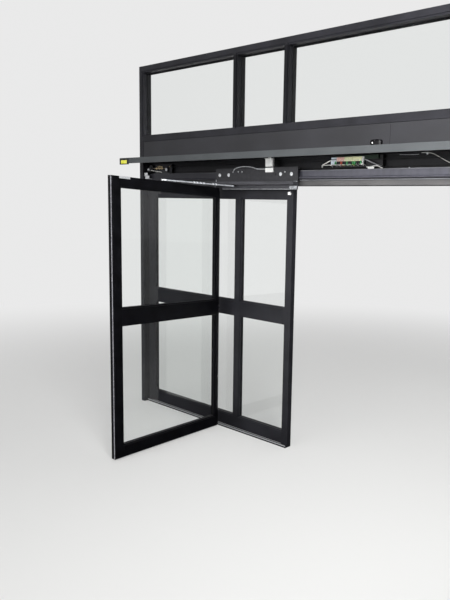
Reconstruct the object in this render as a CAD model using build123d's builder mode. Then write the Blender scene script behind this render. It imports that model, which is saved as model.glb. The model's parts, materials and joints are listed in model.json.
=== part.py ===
from build123d import *
import os
from math import atan2, cos, degrees, hypot, radians, sin

# Automatic biparting sliding entrance in a storefront frame, with the left leaf
# broken out and the header cover raised. Millimetres, +Z up, +Y into the lobby.
# The origin is the centre of the left jamb's foot, on the floor.

# Storefront frame
overall_w = 5872.0
overall_h = 3280.0
member_w = 52.0
member_d = 100.0
head_h = 58.0
bar_z = 2582.0
bar_h = 60.0
bay_outer = 1328.0
bay_inner = 583.0
edge_r = 1.5

# Glazing
glass_t = 6.0
pocket_d = 10.0
glass_gap = 0.3
bead_w = 12.0
bead_d = 4.0
frame_bead_d = 7.0

# Sidelite panels
clear_half = 937.0
panel_t = 44.0
panel_setback = 54.0
side_jamb_stile = 108.0
side_mid_stile = 84.0
side_open_stile = 70.0
side_foot_z = 20.0
side_bottom_h = 114.0
side_mid_shift = 11.0
side_mid_z = 1038.0
side_mid_h = 143.0
side_top_z = 2057.0

# Sliding leaves
leaf_w = 972.0
leaf_t = 44.0
leaf_foot_z = 12.0
leaf_top_z = 2144.0
lead_stile = 74.0
hinge_stile = 40.0
leaf_top_h = 82.0
leaf_mid_z = 1035.0
leaf_mid_h = 142.0
leaf_bottom_h = 101.0
leaf_plane = 24.0
leaf_swing = 2.0
pivot_inset = 30.0
pivot_rest_x = 1124.0
pivot_r = 6.0
pin_gap = 0.05

# Header
header_z = 2164.0
header_top = 2395.0
header_wall = 6.0
header_reach = 70.0
fascia_t = 3.0
fascia_setback = 6.0
sill_h = 50.0
sill_face_h = 32.0
sill_rib = 6.0
sill_flute = 2.0
sill_groove_d = 7.0
sill_nose_h = 7.0
sill_nose_drop = 4.0
sill_nose_reach = 3.0
sill_wall = 4.0
track_w = 25.0
track_h = 66.0
track_wall = 3.0
rail_reach = 19.0
rail_h = 16.0
rail_crown = 5.0
cover_len = 162.0
cover_lip = 50.0
cover_t = 3.0
bead_r = 3.0
bead_gap = 0.3
socket_wall = 3.0
cover_end_gap = 6.0

# Carriages
plate_start = -23.0
plate_h = 115.0
plate_t = 6.0
plate_z = 2190.0
web_t = 24.0
stop_start = 60.0
stop_z = 2131.0
stop_t = 6.0
stop_gap = 5.0
hanger_gap = 2.0
wheel_r = 20.0
wheel_w = 16.0
wheel_gap = 0.3
wheel_side = 5.0
axle_r = 5.0
axle_head_r = 9.0
axle_head_t = 6.0
head_axles = (28.0, 142.0)
tail_axles = (185.0, 67.0)

# Stop arms
arm_pin_x = 231.0
arm_reach = 506.0
arm_w = 14.0
arm_t = 10.0
arm_lift = 7.0
arm_eye_r = 13.0
arm_pin_r = 5.0
shoe_len = 26.0
shoe_w = 22.0
clamp_len = 90.0
clamp_drop = 2.0
clamp_at = 0.503
stay_at = 0.28
stay_len = 46.0
strike_inset = 78.0
strike_len = 84.0
strike_w = 30.0
strike_t = 2.0

# Belt drive
pulley_x = 334.0
pulley_z = 2320.0
pulley_r = 24.0
pulley_w = 12.0
pulley_gap = 5.0
belt_t = 2.0
belt_w = 10.0
belt_gap = 0.3
bracket_x = 139.0
bracket_len = 255.0
bracket_t = 5.0
bracket_top = 2370.0
control_len = 440.0
control_h = 84.0
control_d = 36.0
control_x = 2604.0
terminal_h = 28.0
terminal_d = 14.0
control_drop = 10.0
grip_x = 560.0
grip_w = 60.0
grip_wall = 8.0
grip_t = 8.0
grip_root = 40.0
gear_h = 62.0
gear_back = 30.0
motor_r = 30.0
motor_len = 95.0

# Small fittings
sensor_w = 96.0
sensor_h = 48.0
sensor_d = 52.0
sensor_round = 12.0
sensor_from_lip = 56.0
catch_w = 26.0
catch_h = 24.0
catch_t = 12.0
catch_z = 2092.0
guide_w = 18.0
guide_h = 18.0
guide_wall = 3.0
guide_pin_r = 6.0
guide_pin_h = 8.0

os.makedirs("parts", exist_ok=True)

# Datums that follow from the sizes
front_y = -member_d / 2
back_y = member_d / 2
centre_x = (overall_w - member_w) / 2
mirror_plane = Plane.YZ.offset(centre_x)
inner_l = member_w / 2
inner_r = 2 * centre_x - inner_l
bar_top = bar_z + bar_h
head_z = overall_h - head_h
mullion_1 = bay_outer
mullion_2 = bay_outer + bay_inner
mid_y = 0.0
pocket_w = glass_t + 2 * glass_gap
bite = pocket_d - glass_gap
panel_y = front_y + panel_setback + panel_t / 2
side_edge = centre_x - clear_half
leaf_y = front_y - leaf_plane
px = pivot_rest_x
reach = leaf_w - pivot_inset
hanger_x = px - pivot_inset
hanger_len = leaf_w - hanger_gap
plate_x = px + plate_start
plate_end = hanger_x + hanger_len
plate_len = plate_end - plate_x
axle_xs = [px + a for a in head_axles] + [plate_end - a for a in tail_axles]
stop_y = leaf_y + leaf_t / 2 + stop_gap
plate_y = stop_y
plate_back = plate_y + plate_t
wheel_y = plate_back + wheel_side
web_z = plate_z - web_t
arm_z = leaf_top_z + arm_lift
shoe_x = px + arm_reach * sin(radians(leaf_swing))
shoe_y = leaf_y - arm_reach * cos(radians(leaf_swing))
arm_len = hypot(shoe_x - px - arm_pin_x, shoe_y - leaf_y)
arm_angle = degrees(atan2(shoe_y - leaf_y, shoe_x - px - arm_pin_x))
leaf_axis = Axis((px, leaf_y, 0), (0, 0, 1))
track_front = wheel_y + wheel_w + wheel_side
track_z = header_z + sill_h
track_top = track_z + track_h
rail_top = track_z + rail_h
axle_z = rail_top + wheel_gap + wheel_r
hinge_y = front_y - header_reach
hinge_z = header_top - cover_t / 2
socket_r = bead_r + bead_gap + socket_wall
bracket_y = track_front + track_w
pulley_y = bracket_y - pulley_gap
belt_y = pulley_y - (pulley_w - belt_w) / 2
belt_front = belt_y - belt_w
lower_z = pulley_z - pulley_r - belt_gap - belt_t / 2
upper_z = pulley_z + pulley_r + belt_gap + belt_t / 2
jaw_gap = belt_t / 2 + belt_gap


def save(piece, name):
    piece.part.label = name
    export_step(piece.part, f"parts/{name}.step")


def upright(x0, x1, y, depth, z0, z1, pockets):
    """A vertical member, with a glazing pocket in each side named in pockets."""
    with BuildSketch(Plane.XY.offset(z0)) as section:
        with Locations(((x0 + x1) / 2, y)):
            RectangleRounded(x1 - x0, depth, edge_r)
        if "l" in pockets:
            with Locations((x0 + pocket_d / 2, y)):
                Rectangle(pocket_d, pocket_w, mode=Mode.SUBTRACT)
        if "r" in pockets:
            with Locations((x1 - pocket_d / 2, y)):
                Rectangle(pocket_d, pocket_w, mode=Mode.SUBTRACT)
    extrude(section.sketch, amount=z1 - z0)


def rail(x0, x1, y, depth, z0, z1, pockets):
    """A horizontal member along X, with a glazing pocket above (t) or below (b)."""
    with BuildSketch(Plane.YZ.offset(x0)) as section:
        with Locations((y, (z0 + z1) / 2)):
            RectangleRounded(depth, z1 - z0, edge_r)
        if "b" in pockets:
            with Locations((y, z0 + pocket_d / 2)):
                Rectangle(pocket_w, pocket_d, mode=Mode.SUBTRACT)
        if "t" in pockets:
            with Locations((y, z1 - pocket_d / 2)):
                Rectangle(pocket_w, pocket_d, mode=Mode.SUBTRACT)
    extrude(section.sketch, amount=x1 - x0)


def pane(x0, x1, y, z0, z1):
    """A glass pane for the clear opening given, let into the pockets around it."""
    with BuildSketch(Plane.XY.offset(z0 - bite)) as section:
        with Locations(((x0 + x1) / 2, y)):
            Rectangle(x1 - x0 + 2 * bite, glass_t)
    extrude(section.sketch, amount=z1 - z0 + 2 * bite)


def bead_step(x0, x1, y, depth, z0, z1, step):
    """The shallow step that the glazing beads leave round an opening, on both faces."""
    for face_y, cut in ((y - depth / 2, -step), (y + depth / 2, step)):
        with BuildSketch(Plane.XZ.offset(-face_y)) as section:
            with Locations(((x0 + x1) / 2, (z0 + z1) / 2)):
                Rectangle(x1 - x0 + 2 * bead_w, z1 - z0 + 2 * bead_w)
        extrude(section.sketch, amount=cut, mode=Mode.SUBTRACT)


# Storefront frame: jambs to the floor, head, transom bar and four mullions.
# The clear openings of the left half and the middle, from jamb to centre line
bays = [
    (inner_l, mullion_1 - member_w / 2),
    (mullion_1 + member_w / 2, mullion_2 - member_w / 2),
    (mullion_2 + member_w / 2, 2 * centre_x - mullion_2 - member_w / 2),
]
all_bays = bays + [(2 * centre_x - b, 2 * centre_x - a) for a, b in bays[:2]]

with BuildPart() as jamb_left:
    upright(-member_w / 2, inner_l, mid_y, member_d, 0, bar_z, "")
    upright(-member_w / 2, inner_l, mid_y, member_d, bar_z, overall_h, "r")
    bead_step(*bays[0], mid_y, member_d, bar_top, head_z, frame_bead_d)
save(jamb_left, "jamb_left")

with BuildPart() as jamb_right:
    mirror(jamb_left.part, about=mirror_plane)
save(jamb_right, "jamb_right")

with BuildPart() as head_rail:
    rail(inner_l, inner_r, mid_y, member_d, head_z, overall_h, "b")
    for b0, b1 in all_bays:
        bead_step(b0, b1, mid_y, member_d, bar_top, head_z, frame_bead_d)
save(head_rail, "head_rail")

with BuildPart() as transom_bar:
    rail(inner_l, inner_r, mid_y, member_d, bar_z, bar_top, "t")
    for b0, b1 in all_bays:
        bead_step(b0, b1, mid_y, member_d, bar_top, head_z, frame_bead_d)
save(transom_bar, "transom_bar")

with BuildPart() as transom_mullions:
    for mx in (mullion_1, mullion_2):
        upright(mx - member_w / 2, mx + member_w / 2, mid_y, member_d,
                bar_top, head_z, "lr")
    for b0, b1 in bays:
        bead_step(b0, b1, mid_y, member_d, bar_top, head_z, frame_bead_d)
    mirror(transom_mullions.part, about=mirror_plane)
save(transom_mullions, "transom_mullions")

with BuildPart() as transom_glass:
    for b0, b1 in all_bays:
        pane(b0, b1, mid_y, bar_top, head_z)
save(transom_glass, "transom_glass")

# Sidelites: two bays each, the stiles outside and the rails between them
open_x = side_edge - side_open_stile
mid_x = mullion_1 - member_w / 2 - side_mid_shift
wide_l = inner_l + side_jamb_stile
wide_r = mid_x
thin_l = mid_x + side_mid_stile
thin_r = open_x
side_bottom = side_foot_z + side_bottom_h
side_mid_top = side_mid_z + side_mid_h
side_panes = [(a, b, c, d) for a, b in ((wide_l, wide_r), (thin_l, thin_r))
              for c, d in ((side_bottom, side_mid_z), (side_mid_top, side_top_z))]

with BuildPart() as sidelite_left_stiles:
    upright(inner_l, wide_l, panel_y, panel_t, side_foot_z, header_z, "r")
    upright(open_x, side_edge, panel_y, panel_t, 0, header_z, "l")
    upright(mid_x, thin_l, panel_y, panel_t, side_bottom, side_top_z, "lr")
    for a, b, c, d in side_panes:
        bead_step(a, b, panel_y, panel_t, c, d, bead_d)
save(sidelite_left_stiles, "sidelite_left_stiles")

with BuildPart() as sidelite_left_rails:
    rail(wide_l, open_x, panel_y, panel_t, side_foot_z, side_bottom, "t")
    rail(wide_l, open_x, panel_y, panel_t, side_top_z, header_z, "b")
    rail(wide_l, wide_r, panel_y, panel_t, side_mid_z, side_mid_top, "tb")
    rail(thin_l, thin_r, panel_y, panel_t, side_mid_z, side_mid_top, "tb")
    for a, b, c, d in side_panes:
        bead_step(a, b, panel_y, panel_t, c, d, bead_d)
save(sidelite_left_rails, "sidelite_left_rails")

with BuildPart() as sidelite_left_glass:
    for a, b, c, d in side_panes:
        pane(a, b, panel_y, c, d)
save(sidelite_left_glass, "sidelite_left_glass")

with BuildPart() as sidelite_right_stiles:
    mirror(sidelite_left_stiles.part, about=mirror_plane)
save(sidelite_right_stiles, "sidelite_right_stiles")

with BuildPart() as sidelite_right_rails:
    mirror(sidelite_left_rails.part, about=mirror_plane)
save(sidelite_right_rails, "sidelite_right_rails")

with BuildPart() as sidelite_right_glass:
    mirror(sidelite_left_glass.part, about=mirror_plane)
save(sidelite_right_glass, "sidelite_right_glass")

# White catches near the top of the two opening stiles
panel_front = panel_y - panel_t / 2
with BuildPart() as stile_catches:
    with BuildSketch(Plane.XZ.offset(-panel_front)) as catch_face:
        with Locations((side_edge - side_open_stile / 2, catch_z + catch_h / 2)):
            RectangleRounded(catch_w, catch_h, 3)
    extrude(catch_face.sketch, amount=catch_t)
    mirror(stile_catches.part, about=mirror_plane)
save(stile_catches, "stile_catches")

# Floor guides along the foot of each sidelite, an open-topped channel
guide_y = panel_front - guide_w / 2
with BuildPart() as floor_guides:
    with BuildSketch(Plane.YZ.offset(inner_l)) as guide_section:
        with Locations((guide_y, guide_h / 2)):
            Rectangle(guide_w, guide_h)
        with Locations((guide_y, guide_h / 2 + guide_wall / 2)):
            Rectangle(guide_w - 2 * guide_wall, guide_h - guide_wall,
                      mode=Mode.SUBTRACT)
    extrude(guide_section.sketch, amount=side_edge - inner_l)
    mirror(floor_guides.part, about=mirror_plane)
save(floor_guides, "floor_guides")

# Fascia between the transom bar and the header, in two lengths, front and back
with BuildPart() as fascia_panels:
    with BuildSketch(Plane.YZ.offset(inner_l)) as fascia_section:
        with Locations((front_y + fascia_setback + fascia_t / 2, (bar_z + header_top) / 2),
                       (back_y - fascia_setback - fascia_t / 2, (bar_z + header_top) / 2)):
            Rectangle(fascia_t, bar_z - header_top)
    extrude(fascia_section.sketch, amount=centre_x - inner_l - 1.0)
    mirror(fascia_panels.part, about=mirror_plane)
save(fascia_panels, "fascia_panels")

# Header sill: the hollow extrusion under the track, with a fluted face and a nose
face_top = header_z + sill_face_h
nose_top = track_z - sill_nose_drop
groove_y = track_front + sill_groove_d
with BuildPart() as header_sill:
    with BuildSketch(Plane.YZ.offset(inner_l)) as sill_section:
        with BuildLine():
            Polyline(
                (track_front, header_z),
                (back_y, header_z),
                (back_y, track_z),
                (groove_y, track_z),
                (groove_y, nose_top),
                (track_front - sill_nose_reach, nose_top),
                (track_front - sill_nose_reach, nose_top - sill_nose_h),
                (groove_y, nose_top - sill_nose_h),
                (groove_y, face_top),
                (track_front, face_top),
                (track_front, face_top - sill_rib),
                (track_front + sill_flute, face_top - sill_rib),
                (track_front + sill_flute, header_z + sill_rib),
                (track_front, header_z + sill_rib),
                close=True,
            )
        make_face()
        with Locations(((groove_y + back_y) / 2, (header_z + track_z) / 2)):
            Rectangle(back_y - groove_y - 2 * sill_wall, sill_h - 2 * sill_wall,
                      mode=Mode.SUBTRACT)
    extrude(sill_section.sketch, amount=inner_r - inner_l)
save(header_sill, "header_sill")

# Header backbone: back wall and a top flange that ends in the socket of the
# cover's hinge
with BuildPart() as header_backbone:
    with BuildSketch(Plane.YZ.offset(inner_l)) as backbone_section:
        with BuildLine():
            Polyline(
                (back_y - header_wall, track_z),
                (back_y, track_z),
                (back_y, header_top),
                (hinge_y, header_top),
                (hinge_y, header_top - header_wall),
                (back_y - header_wall, header_top - header_wall),
                close=True,
            )
        make_face()
        with Locations((hinge_y, hinge_z)):
            Circle(socket_r)
            Circle(bead_r + bead_gap, mode=Mode.SUBTRACT)
        with BuildLine():
            Polyline(
                (hinge_y + 2.2, hinge_z),
                (hinge_y, hinge_z + 2.2),
                (hinge_y - 12, hinge_z + 2.2),
                (hinge_y - 12, hinge_z - 12),
                (hinge_y + 2.2, hinge_z - 12),
                close=True,
            )
        make_face(mode=Mode.SUBTRACT)
    extrude(backbone_section.sketch, amount=inner_r - inner_l)
save(header_backbone, "header_backbone")

# Track: a hollow extrusion with a forward rail that the wheels ride on, crowned
# under the middle of their tread
crown_y = wheel_y + wheel_w / 2
with BuildPart() as track_rail:
    with BuildSketch(Plane.YZ.offset(inner_l)) as track_section:
        with BuildLine():
            Polyline(
                (track_front, track_z),
                (track_front + track_w, track_z),
                (track_front + track_w, track_top),
                (track_front, track_top),
                (track_front, rail_top - 6),
                (crown_y + rail_crown, rail_top - 6),
                (crown_y + rail_crown / 2, rail_top),
                (crown_y - rail_crown / 2, rail_top),
                (crown_y - rail_crown, rail_top - 6),
                (track_front - rail_reach, rail_top - 6),
                (track_front - rail_reach, track_z + 4),
                (track_front, track_z + 4),
                close=True,
            )
        make_face()
        with Locations((track_front + track_w / 2, (track_z + track_top) / 2)):
            Rectangle(track_w - 2 * track_wall, track_h - 2 * track_wall,
                      mode=Mode.SUBTRACT)
    extrude(track_section.sketch, amount=inner_r - inner_l)
save(track_rail, "track_rail")

# Raised header cover: a folded sheet with a bead that turns in the socket
with BuildPart() as header_cover:
    cover_l = inner_l + cover_end_gap
    with BuildSketch(Plane.YZ.offset(cover_l)) as cover_section:
        with BuildLine():
            Polyline(
                (hinge_y, header_top),
                (hinge_y - cover_len, header_top),
                (hinge_y - cover_len, header_top - cover_lip),
                (hinge_y - cover_len + cover_t, header_top - cover_lip),
                (hinge_y - cover_len + cover_t, header_top - cover_t),
                (hinge_y, header_top - cover_t),
                close=True,
            )
        make_face()
        with Locations((hinge_y, hinge_z)):
            Circle(bead_r)
    extrude(cover_section.sketch, amount=2 * (centre_x - cover_l))
save(header_cover, "header_cover")

# Motion sensor, a low dome on the cover's outer face
with BuildPart() as motion_sensor:
    with BuildSketch(Plane.XY.offset(header_top)) as sensor_foot:
        with Locations((centre_x, hinge_y - cover_len + sensor_from_lip + sensor_d / 2)):
            Ellipse(sensor_w / 2, sensor_d / 2)
    extrude(sensor_foot.sketch, amount=sensor_h)
    fillet(motion_sensor.edges().group_by(Axis.Z)[-1], sensor_round)
save(motion_sensor, "motion_sensor")

def belt_grip(x, run_z):
    """A clamp on the carriage plate's back, its jaws above and below one belt run."""
    root_z = plate_z + plate_h - grip_root
    with BuildSketch(Plane.YZ.offset(x)) as section:
        with BuildLine():
            Polyline(
                (plate_back, root_z),
                (plate_back + grip_t, root_z),
                (plate_back + grip_t, run_z - jaw_gap - grip_wall),
                (belt_y, run_z - jaw_gap - grip_wall),
                (belt_y, run_z - jaw_gap),
                (belt_front - belt_gap, run_z - jaw_gap),
                (belt_front - belt_gap, run_z + jaw_gap),
                (belt_y, run_z + jaw_gap),
                (belt_y, run_z + jaw_gap + grip_wall),
                (plate_back, run_z + jaw_gap + grip_wall),
                close=True,
            )
        make_face()
    extrude(section.sketch, amount=grip_w)


# Left carriage: plate on four wheels, with the clamp on the belt's lower run, and
# the hanger with its stop flange
with BuildPart() as plate_blank:
    with BuildSketch(Plane.XZ.offset(-plate_back)) as plate_face:
        with Locations((plate_x + plate_len / 2, plate_z + plate_h / 2)):
            RectangleRounded(plate_len, plate_h, 6)
        with Locations(*[(x, axle_z) for x in axle_xs]):
            Circle(axle_r, mode=Mode.SUBTRACT)
    extrude(plate_face.sketch, amount=plate_t)

with BuildPart() as carriage_left_plate:
    add(plate_blank.part)
    belt_grip(px + grip_x, lower_z)
save(carriage_left_plate, "carriage_left_plate")

with BuildPart() as carriage_left_hanger:
    with BuildSketch(Plane.YZ.offset(hanger_x)) as web_section:
        with Locations(((leaf_y - leaf_t / 2 + stop_y + stop_t) / 2, web_z + web_t / 2)):
            Rectangle(stop_y + stop_t - leaf_y + leaf_t / 2, web_t)
    extrude(web_section.sketch, amount=hanger_len)
    with BuildSketch(Plane.YZ.offset(px + stop_start)) as stop_section:
        with Locations((stop_y + stop_t / 2, (stop_z + web_z) / 2)):
            Rectangle(stop_t, web_z - stop_z)
    extrude(stop_section.sketch, amount=plate_end - px - stop_start)
    with BuildSketch(Plane.XY.offset(web_z)) as pin_ends:
        with Locations((px, leaf_y)):
            Circle(pivot_r)
    extrude(pin_ends.sketch, amount=leaf_top_z - 22 - web_z)
    with BuildSketch(Plane.XY.offset(web_z)) as arm_pin:
        with Locations((px + arm_pin_x, leaf_y)):
            Circle(arm_pin_r)
    extrude(arm_pin.sketch, amount=arm_z - 2 - web_z)
save(carriage_left_hanger, "carriage_left_hanger")

with BuildPart() as carriage_left_rollers:
    with BuildSketch(Plane.XZ.offset(-wheel_y - wheel_w)) as wheels:
        with Locations(*[(x, axle_z) for x in axle_xs]):
            Circle(wheel_r)
    extrude(wheels.sketch, amount=wheel_w)
    with BuildSketch(Plane.XZ.offset(-wheel_y)) as axles:
        with Locations(*[(x, axle_z) for x in axle_xs]):
            Circle(axle_r - pin_gap)
    extrude(axles.sketch, amount=wheel_y - plate_y)
    with BuildSketch(Plane.XZ.offset(-plate_y)) as heads:
        with Locations(*[(x, axle_z) for x in axle_xs]):
            RegularPolygon(axle_head_r, 6)
    extrude(heads.sketch, amount=axle_head_t)
save(carriage_left_rollers, "carriage_left_rollers")

# Left leaf, broken out to leaf_swing degrees short of square. Its pieces are drawn
# square, hinge edge by the pivot and lead edge out in front, then turned about the
# pivot
leaf_end = leaf_y + pivot_inset
leaf_lead = leaf_y - reach
leaf_mid_top = leaf_mid_z + leaf_mid_h
leaf_bottom_top = leaf_foot_z + leaf_bottom_h
leaf_rail_z = leaf_top_z - leaf_top_h
open_a = leaf_lead + lead_stile
open_b = leaf_end - hinge_stile


def leaf_upright(y0, y1, side):
    """A leaf stile, its long side along Y, with the pocket on the side given."""
    with BuildSketch(Plane.XY.offset(leaf_foot_z)) as section:
        with Locations((px, (y0 + y1) / 2)):
            RectangleRounded(leaf_t, y1 - y0, edge_r)
        with Locations((px, y1 - pocket_d / 2 if side > 0 else y0 + pocket_d / 2)):
            Rectangle(pocket_w, pocket_d, mode=Mode.SUBTRACT)
    extrude(section.sketch, amount=leaf_top_z - leaf_foot_z)


def leaf_rail(z0, z1, pockets):
    """A leaf rail between the stiles, along Y."""
    with BuildSketch(Plane.XZ.offset(-open_b)) as section:
        with Locations((px, (z0 + z1) / 2)):
            RectangleRounded(leaf_t, z1 - z0, edge_r)
        if "b" in pockets:
            with Locations((px, z0 + pocket_d / 2)):
                Rectangle(pocket_w, pocket_d, mode=Mode.SUBTRACT)
        if "t" in pockets:
            with Locations((px, z1 - pocket_d / 2)):
                Rectangle(pocket_w, pocket_d, mode=Mode.SUBTRACT)
    extrude(section.sketch, amount=open_b - open_a)


def leaf_bead_step(z0, z1):
    """The bead step round a leaf pane, on both faces."""
    for face_x, cut in ((px - leaf_t / 2, bead_d), (px + leaf_t / 2, -bead_d)):
        with BuildSketch(Plane.YZ.offset(face_x)) as section:
            with Locations(((open_a + open_b) / 2, (z0 + z1) / 2)):
                Rectangle(open_b - open_a + 2 * bead_w, z1 - z0 + 2 * bead_w)
        extrude(section.sketch, amount=cut, mode=Mode.SUBTRACT)


leaf_panes = ((leaf_bottom_top, leaf_mid_z), (leaf_mid_top, leaf_rail_z))
with BuildPart() as square_stiles:
    leaf_upright(leaf_lead, open_a, 1)
    leaf_upright(open_b, leaf_end, -1)
    for gz0, gz1 in leaf_panes:
        leaf_bead_step(gz0, gz1)
    with BuildSketch(Plane.XY.offset(leaf_top_z)) as pivot_hole:
        with Locations((px, leaf_y)):
            Circle(pivot_r + pin_gap)
    extrude(pivot_hole.sketch, amount=-24, mode=Mode.SUBTRACT)
    with BuildSketch(Plane.XY.offset(leaf_foot_z)) as foot_pin:
        with Locations((px, leaf_y)):
            Circle(guide_pin_r)
    extrude(foot_pin.sketch, amount=-guide_pin_h)

with BuildPart() as leaf_left_stiles:
    add(square_stiles.part.rotate(leaf_axis, leaf_swing))
save(leaf_left_stiles, "leaf_left_stiles")

with BuildPart() as square_rails:
    leaf_rail(leaf_foot_z, leaf_bottom_top, "t")
    leaf_rail(leaf_mid_z, leaf_mid_top, "tb")
    leaf_rail(leaf_rail_z, leaf_top_z, "b")
    for gz0, gz1 in leaf_panes:
        leaf_bead_step(gz0, gz1)

with BuildPart() as leaf_left_rails:
    add(square_rails.part.rotate(leaf_axis, leaf_swing))
save(leaf_left_rails, "leaf_left_rails")

with BuildPart() as square_glass:
    for gz0, gz1 in leaf_panes:
        with BuildSketch(Plane.XY.offset(gz0 - bite)) as leaf_pane:
            with Locations((px, (open_a + open_b) / 2)):
                Rectangle(glass_t, open_b - open_a + 2 * bite)
        extrude(leaf_pane.sketch, amount=gz1 - gz0 + 2 * bite)

with BuildPart() as leaf_left_glass:
    add(square_glass.part.rotate(leaf_axis, leaf_swing))
save(leaf_left_glass, "leaf_left_glass")

# Strike plate on top of the leaf near its lead edge
with BuildPart() as square_strike:
    with BuildSketch(Plane.XY.offset(leaf_top_z)) as strike_face:
        with Locations((px, leaf_lead + strike_inset + strike_len / 2)):
            SlotOverall(strike_len, strike_w, rotation=90)
    extrude(strike_face.sketch, amount=strike_t)

with BuildPart() as leaf_left_strike:
    add(square_strike.part.rotate(leaf_axis, leaf_swing))
save(leaf_left_strike, "leaf_left_strike")

# Stop arm from the hanger's pin to the shoe over the leaf's top rail
pin_point = (px + arm_pin_x, leaf_y)
with BuildPart() as arm_left:
    arm_plane = Plane(origin=(pin_point[0], pin_point[1], arm_z),
                      x_dir=Vector(1, 0, 0).rotate(Axis.Z, arm_angle), z_dir=(0, 0, 1))
    with BuildSketch(arm_plane) as arm_bar:
        with Locations((arm_len / 2, 0)):
            Rectangle(arm_len, arm_w)
        Circle(arm_eye_r)
        Circle(arm_pin_r + pin_gap, mode=Mode.SUBTRACT)
    extrude(arm_bar.sketch, amount=arm_t)
    with BuildSketch(arm_plane) as arm_shoe:
        with Locations((arm_len, 0)):
            RectangleRounded(shoe_len, shoe_w, 3)
    extrude(arm_shoe.sketch, amount=arm_t)
    with BuildSketch(arm_plane.offset(-clamp_drop)) as arm_blocks:
        with Locations((arm_len * clamp_at, 0)):
            RectangleRounded(clamp_len, shoe_w, 3)
        with Locations((arm_len * stay_at, 0)):
            RectangleRounded(stay_len, shoe_w, 3)
    extrude(arm_blocks.sketch, amount=arm_t + clamp_drop)
save(arm_left, "arm_left")

# Right-hand set, the mirror image of the left but for the clamp, which holds the
# belt's upper run
with BuildPart() as carriage_right_plate:
    mirror(plate_blank.part, about=mirror_plane)
    belt_grip(2 * centre_x - px - grip_x - grip_w, upper_z)
save(carriage_right_plate, "carriage_right_plate")

with BuildPart() as carriage_right_hanger:
    mirror(carriage_left_hanger.part, about=mirror_plane)
save(carriage_right_hanger, "carriage_right_hanger")

with BuildPart() as carriage_right_rollers:
    mirror(carriage_left_rollers.part, about=mirror_plane)
save(carriage_right_rollers, "carriage_right_rollers")

with BuildPart() as leaf_right_stiles:
    mirror(leaf_left_stiles.part, about=mirror_plane)
save(leaf_right_stiles, "leaf_right_stiles")

with BuildPart() as leaf_right_rails:
    mirror(leaf_left_rails.part, about=mirror_plane)
save(leaf_right_rails, "leaf_right_rails")

with BuildPart() as leaf_right_glass:
    mirror(leaf_left_glass.part, about=mirror_plane)
save(leaf_right_glass, "leaf_right_glass")

with BuildPart() as leaf_right_strike:
    mirror(leaf_left_strike.part, about=mirror_plane)
save(leaf_right_strike, "leaf_right_strike")

with BuildPart() as arm_right:
    mirror(arm_left.part, about=mirror_plane)
save(arm_right, "arm_right")

# Idler bracket: a foot on the track and an upright that carries the axle
with BuildPart() as idler_bracket_left:
    with BuildSketch(Plane.YZ.offset(bracket_x)) as bracket_section:
        with BuildLine():
            Polyline(
                (track_front, track_top),
                (bracket_y + bracket_t, track_top),
                (bracket_y + bracket_t, bracket_top),
                (bracket_y, bracket_top),
                (bracket_y, track_top + bracket_t),
                (track_front, track_top + bracket_t),
                close=True,
            )
        make_face()
    extrude(bracket_section.sketch, amount=bracket_len)
    with BuildSketch(Plane.XZ.offset(-bracket_y)) as idler_axle:
        with Locations((pulley_x, pulley_z)):
            Circle(axle_r)
    extrude(idler_axle.sketch, amount=pulley_gap + pulley_w + 3)
save(idler_bracket_left, "idler_bracket_left")

with BuildPart() as idler_bracket_right:
    mirror(idler_bracket_left.part, about=mirror_plane)
save(idler_bracket_right, "idler_bracket_right")

with BuildPart() as pulley_left:
    with BuildSketch(Plane.XZ.offset(-pulley_y)) as pulley_face:
        with Locations((pulley_x, pulley_z)):
            Circle(pulley_r)
            Circle(axle_r + pin_gap, mode=Mode.SUBTRACT)
    extrude(pulley_face.sketch, amount=pulley_w)
save(pulley_left, "pulley_left")

with BuildPart() as pulley_right:
    mirror(pulley_left.part, about=mirror_plane)
save(pulley_right, "pulley_right")

# Belt: one closed loop round both pulleys
span = 2 * (centre_x - pulley_x)
with BuildPart() as drive_belt:
    with BuildSketch(Plane.XZ.offset(-belt_y)) as belt_face:
        with Locations((centre_x, pulley_z)):
            SlotCenterToCenter(span, 2 * (pulley_r + belt_gap + belt_t))
            SlotCenterToCenter(span, 2 * (pulley_r + belt_gap), mode=Mode.SUBTRACT)
    extrude(belt_face.sketch, amount=belt_w)
save(drive_belt, "drive_belt")

# Drive motor at the right end: a flat gear case behind the bracket and the motor
gear_y = bracket_y + bracket_t
motor_x = 2 * centre_x - bracket_x + 8.0
with BuildPart() as drive_motor:
    with BuildSketch(Plane.XY.offset(pulley_z - gear_h / 2)) as gear_plan:
        with Locations(((2 * centre_x - pulley_x - gear_back + motor_x) / 2,
                        (gear_y + back_y - header_wall) / 2)):
            RectangleRounded(motor_x - 2 * centre_x + pulley_x + gear_back,
                             back_y - header_wall - gear_y, 4)
    extrude(gear_plan.sketch, amount=gear_h)
    with BuildSketch(Plane.YZ.offset(motor_x)) as motor_face:
        with Locations((back_y - header_wall - motor_r - 2.0, pulley_z)):
            Circle(motor_r)
    extrude(motor_face.sketch, amount=motor_len)
save(drive_motor, "drive_motor")

# Control unit on the back wall, with its terminal strip in front
control_back = back_y - header_wall
control_z = header_top - header_wall - control_drop - control_h
with BuildPart() as control_unit:
    with BuildSketch(Plane.XY.offset(control_z)) as control_plan:
        with Locations((control_x, control_back - control_d / 2)):
            RectangleRounded(control_len, control_d, 4)
    extrude(control_plan.sketch, amount=control_h)
save(control_unit, "control_unit")

with BuildPart() as terminal_strip:
    with BuildSketch(Plane.XY.offset(control_z + control_h - terminal_h)) as strip_plan:
        with Locations((control_x, control_back - control_d - terminal_d / 2)):
            Rectangle(control_len - 60, terminal_d)
    extrude(strip_plan.sketch, amount=terminal_h)
save(terminal_strip, "terminal_strip")
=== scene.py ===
import json
from math import cos, pi, radians, sin

import bmesh
import bpy
from mathutils import Matrix, Vector


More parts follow.
